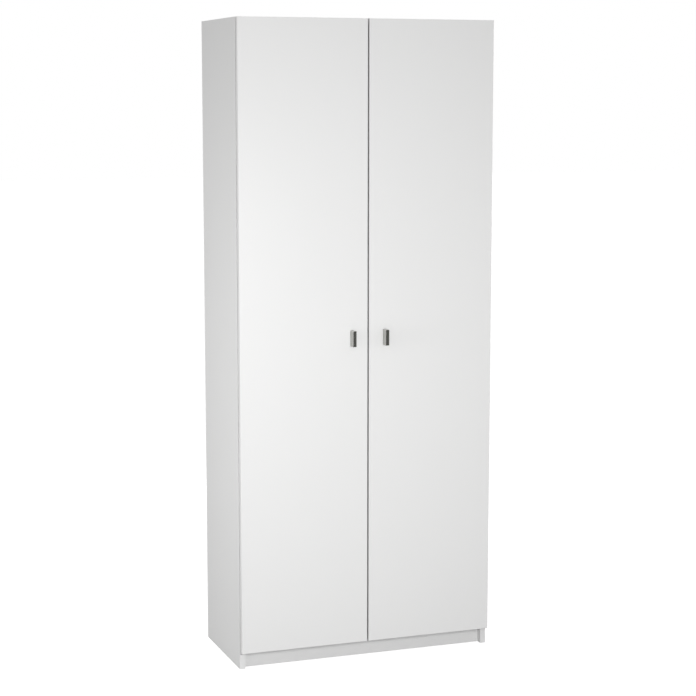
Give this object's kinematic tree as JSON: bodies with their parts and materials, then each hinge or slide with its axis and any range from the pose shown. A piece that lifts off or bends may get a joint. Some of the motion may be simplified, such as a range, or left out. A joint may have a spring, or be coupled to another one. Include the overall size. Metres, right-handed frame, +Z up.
{
  "type": "storage cupboard",
  "caption": "Tall white storage cupboard with hinged full-overlay doors, small block pulls, inner shelves and a recessed plinth.",
  "frame": {"origin": "on the floor, under the centre of the whole object's bounding box", "axes": "+Z up, -Y towards the front with the doors, +X to the right when facing the front"},
  "size_m": [0.75, 0.3744, 1.8],
  "materials": {
    "coated_board": "white coated chipboard, faintly textured, satin",
    "door_front": "white coated chipboard, smooth satin",
    "back_board": "thin hardboard with a white front, matt",
    "white_plastic": "extruded white plastic",
    "zinc_steel": "bright zinc plate",
    "nickel_steel": "nickel plate, satin",
    "handle_metal": "satin metal with a dark polished front",
    "clear_buffer": "clear soft plastic"
  },
  "bodies": {
    "carcass": {"left_side_panel": "coated_board", "right_side_panel": "coated_board", "top_panel": "coated_board", "bottom_panel": "coated_board", "plinth_board": "coated_board", "fixed_shelf": "coated_board", "adjustable_shelf_low": "coated_board", "adjustable_shelf_middle": "coated_board", "adjustable_shelf_high": "coated_board", "back_panel_left": "back_board", "back_panel_right": "back_board", "back_joining_strip": "white_plastic", "shelf_pin_low_left_front": "zinc_steel", "shelf_pin_low_left_back": "zinc_steel", "shelf_pin_low_right_front": "zinc_steel", "shelf_pin_low_right_back": "zinc_steel", "shelf_pin_middle_left_front": "zinc_steel", "shelf_pin_middle_left_back": "zinc_steel", "shelf_pin_middle_right_front": "zinc_steel", "shelf_pin_middle_right_back": "zinc_steel", "shelf_pin_high_left_front": "zinc_steel", "shelf_pin_high_left_back": "zinc_steel", "shelf_pin_high_right_front": "zinc_steel", "shelf_pin_high_right_back": "zinc_steel", "left_hinge_arm_low": "nickel_steel", "left_hinge_arm_middle": "nickel_steel", "left_hinge_arm_high": "nickel_steel", "left_hinge_plate_low": "nickel_steel", "left_hinge_plate_middle": "nickel_steel", "left_hinge_plate_high": "nickel_steel", "right_hinge_arm_low": "nickel_steel", "right_hinge_arm_middle": "nickel_steel", "right_hinge_arm_high": "nickel_steel", "right_hinge_plate_low": "nickel_steel", "right_hinge_plate_middle": "nickel_steel", "right_hinge_plate_high": "nickel_steel"},
    "left_door_leaf": {"left_door": "door_front", "left_handle": "handle_metal", "left_handle_screw_lower": "zinc_steel", "left_handle_screw_upper": "zinc_steel", "left_hinge_cup_low": "zinc_steel", "left_hinge_cup_middle": "zinc_steel", "left_hinge_cup_high": "zinc_steel", "left_hinge_pin_low": "zinc_steel", "left_hinge_pin_middle": "zinc_steel", "left_hinge_pin_high": "zinc_steel", "left_door_buffer_low": "clear_buffer", "left_door_buffer_high": "clear_buffer"},
    "right_door_leaf": {"right_door": "door_front", "right_handle": "handle_metal", "right_handle_screw_lower": "zinc_steel", "right_handle_screw_upper": "zinc_steel", "right_hinge_cup_low": "zinc_steel", "right_hinge_cup_middle": "zinc_steel", "right_hinge_cup_high": "zinc_steel", "right_hinge_pin_low": "zinc_steel", "right_hinge_pin_middle": "zinc_steel", "right_hinge_pin_high": "zinc_steel", "right_door_buffer_low": "clear_buffer", "right_door_buffer_high": "clear_buffer"}
  },
  "joints": [
    {"name": "left_door_swing", "type": "hinge", "parent": "carcass", "child": "left_door_leaf", "pos_m": [-0.3662, -0.15585, 0], "axis": [0, 0, -1], "range_deg": [0, 105]},
    {"name": "right_door_swing", "type": "hinge", "parent": "carcass", "child": "right_door_leaf", "pos_m": [0.3662, -0.15585, 0], "axis": [0, 0, 1], "range_deg": [0, 105]}
  ]
}
